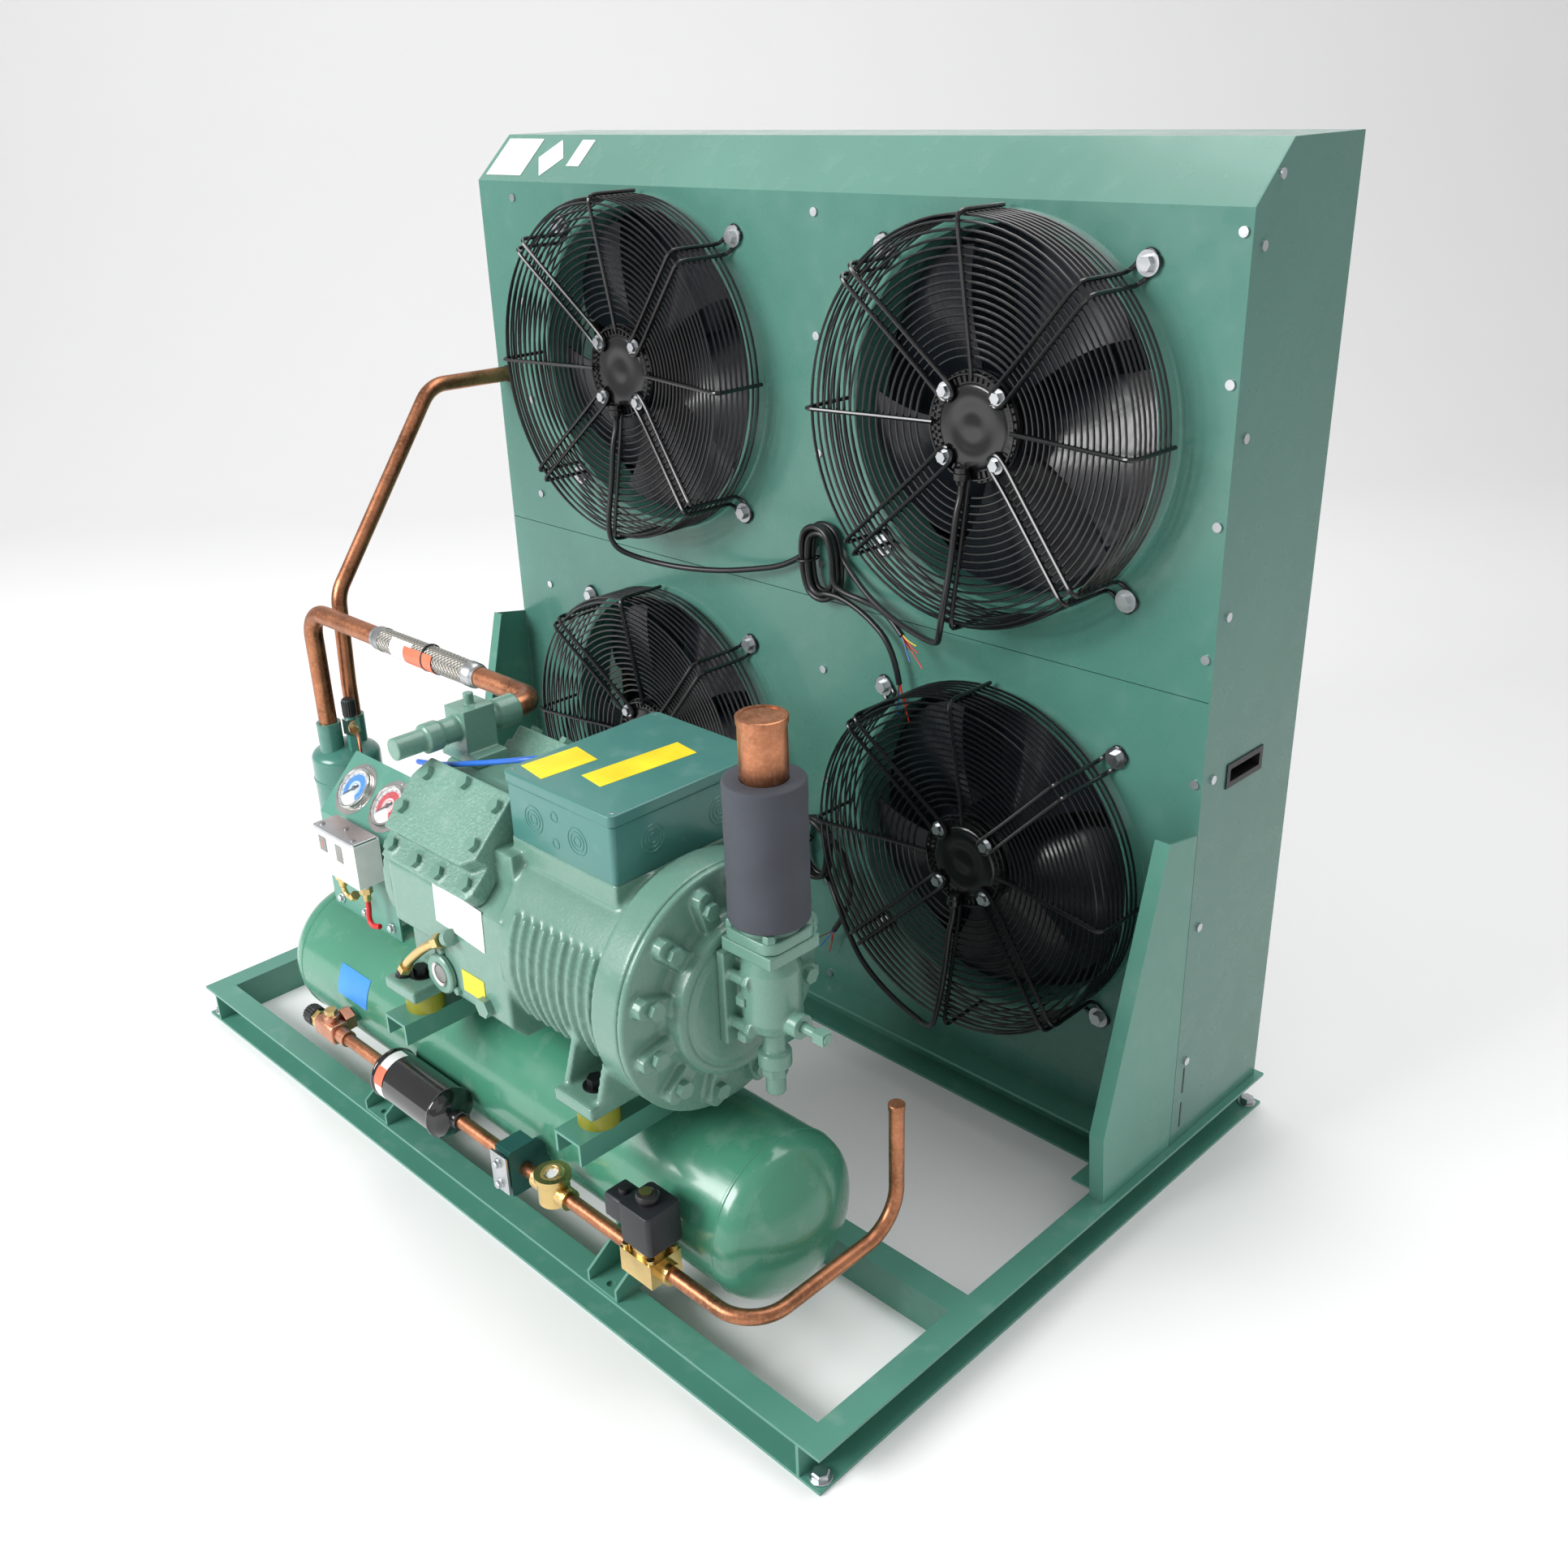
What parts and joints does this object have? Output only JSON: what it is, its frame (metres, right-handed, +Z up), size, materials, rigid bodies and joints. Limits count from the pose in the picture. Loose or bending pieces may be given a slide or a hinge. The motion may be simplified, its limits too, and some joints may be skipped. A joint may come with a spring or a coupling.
{
  "type": "refrigeration condensing unit",
  "caption": "Air-cooled refrigeration condensing unit: green steel base with reciprocating compressor on a horizontal receiver, and a fan and coil casing behind.",
  "frame": {"origin": "centre of the base frame's footprint, at its underside", "axes": "+X along the fan wall, +Y from the compressor side to the condenser casing, +Z up"},
  "size_m": [1.45, 1.0055, 1.367],
  "materials": {
    "frame_paint": "satin green paint",
    "case_paint": "satin green paint",
    "hood_paint": "satin green paint",
    "tank_paint": "gloss green paint",
    "machine_paint": "green paint over cast iron",
    "cast_core": "green paint over cast iron",
    "box_paint": "satin blue-green paint",
    "copper": "drawn copper",
    "brass": "turned brass",
    "guard_black": "black coated wire",
    "motor_black": "black painted motor",
    "blade_black": "matt black blades",
    "zinc": "zinc plated",
    "black_bolt": "black steel",
    "steel": "machined steel",
    "piston_alloy": "machined",
    "winding": "enamelled copper winding on laminations",
    "fins": "coated fin stock",
    "mount_rubber": "yellow-green elastomer",
    "foam": "matt black foam",
    "braid": "woven bronze and steel wire",
    "black_plastic": "matt black",
    "drier_black": "gloss black enamel",
    "clamp_plastic": "teal plastic",
    "coil_plastic": "moulded black",
    "control_case": "light grey cover",
    "gauge_case": "polished bezel",
    "clear": "clear",
    "lens": "sight glass",
    "needle_black": "black",
    "cable_black": "black sheath"
  },
  "bodies": {
    "frame": {"side_rails": "frame_paint", "end_rails": "frame_paint", "cross_beams": "frame_paint", "gussets": "frame_paint", "mount_brackets": "frame_paint", "receiver_feet": "frame_paint", "gauge_panel": "frame_paint", "side_panels": "case_paint", "fan_panel_lower": "case_paint", "fan_panel_upper": "case_paint", "top_hood": "hood_paint", "receiver": "tank_paint", "oil_separator": "tank_paint", "compressor_bolts": "machine_paint", "discharge_valve": "machine_paint", "suction_valve": "machine_paint", "compressor_housing": "cast_core", "crankcase_cover": "cast_core", "cylinder_heads": "cast_core", "motor_end_cover": "cast_core", "terminal_box": "box_paint", "terminal_box_lid": "box_paint", "coil_tubes": "copper", "discharge_pipes": "copper", "liquid_pipes": "copper", "suction_pipe": "copper", "liquid_sight_glass": "brass", "solenoid_valve": "brass", "receiver_valve": "brass", "fan_guards": "guard_black", "fan_motors": "motor_black", "casing_fasteners": "zinc", "stand_bolts": "black_bolt", "pistons": "piston_alloy", "motor_stator": "winding", "coil_fins": "fins", "rubber_mounts": "mount_rubber", "pipe_insulation": "foam", "vibration_absorber": "braid", "pocket_handles": "black_plastic", "filter_drier": "drier_black", "pipe_clamp": "clamp_plastic", "solenoid_coil": "coil_plastic", "pressure_control": "control_case", "pressure_gauges": "gauge_case", "gauge_glasses": "clear", "oil_sight_glass": "lens", "cable_upper_left": "cable_black", "cable_upper_right": "cable_black", "cable_lower_right": "cable_black", "cable_hanks": "cable_black"},
    "impeller_lower_left": {"impeller_lower_left": "blade_black"},
    "impeller_upper_left": {"impeller_upper_left": "blade_black"},
    "impeller_lower_right": {"impeller_lower_right": "blade_black"},
    "impeller_upper_right": {"impeller_upper_right": "blade_black"},
    "crank_train": {"crankshaft": "steel", "motor_rotor": "steel"},
    "suction_spindle": {"suction_valve_spindle": "steel"},
    "needle_low": {"gauge_needle_low": "needle_black"},
    "needle_high": {"gauge_needle_high": "needle_black"}
  },
  "joints": [
    {"name": "fan_spin_lower_left", "type": "hinge", "parent": "frame", "child": "impeller_lower_left", "pos_m": [-0.299, 0.24, 0.42], "axis": [0, 1, 0], "continuous": true},
    {"name": "fan_spin_upper_left", "type": "hinge", "parent": "frame", "child": "impeller_upper_left", "pos_m": [-0.299, 0.24, 1.036], "axis": [0, 1, 0], "continuous": true},
    {"name": "fan_spin_lower_right", "type": "hinge", "parent": "frame", "child": "impeller_lower_right", "pos_m": [0.388, 0.24, 0.42], "axis": [0, 1, 0], "continuous": true},
    {"name": "fan_spin_upper_right", "type": "hinge", "parent": "frame", "child": "impeller_upper_right", "pos_m": [0.388, 0.24, 1.036], "axis": [0, 1, 0], "continuous": true},
    {"name": "crank_spin", "type": "hinge", "parent": "frame", "child": "crank_train", "pos_m": [0.1, -0.333, 0.476], "axis": [1, 0, 0], "continuous": true},
    {"name": "suction_spindle_turn", "type": "hinge", "parent": "frame", "child": "suction_spindle", "pos_m": [0.58, -0.333, 0.476], "axis": [1, 0, 0], "range_deg": [-1080, 0]},
    {"name": "needle_low_sweep", "type": "hinge", "parent": "frame", "child": "needle_low", "pos_m": [-0.373, -0.3345, 0.4825], "axis": [0, -0.7071, 0.7071], "range_deg": [-270, 0], "stiffness_Nm_per_rad": 0.0005},
    {"name": "needle_high_sweep", "type": "hinge", "parent": "frame", "child": "needle_high", "pos_m": [-0.28, -0.3345, 0.4825], "axis": [0, -0.7071, 0.7071], "range_deg": [-270, 0], "stiffness_Nm_per_rad": 0.0005}
  ]
}
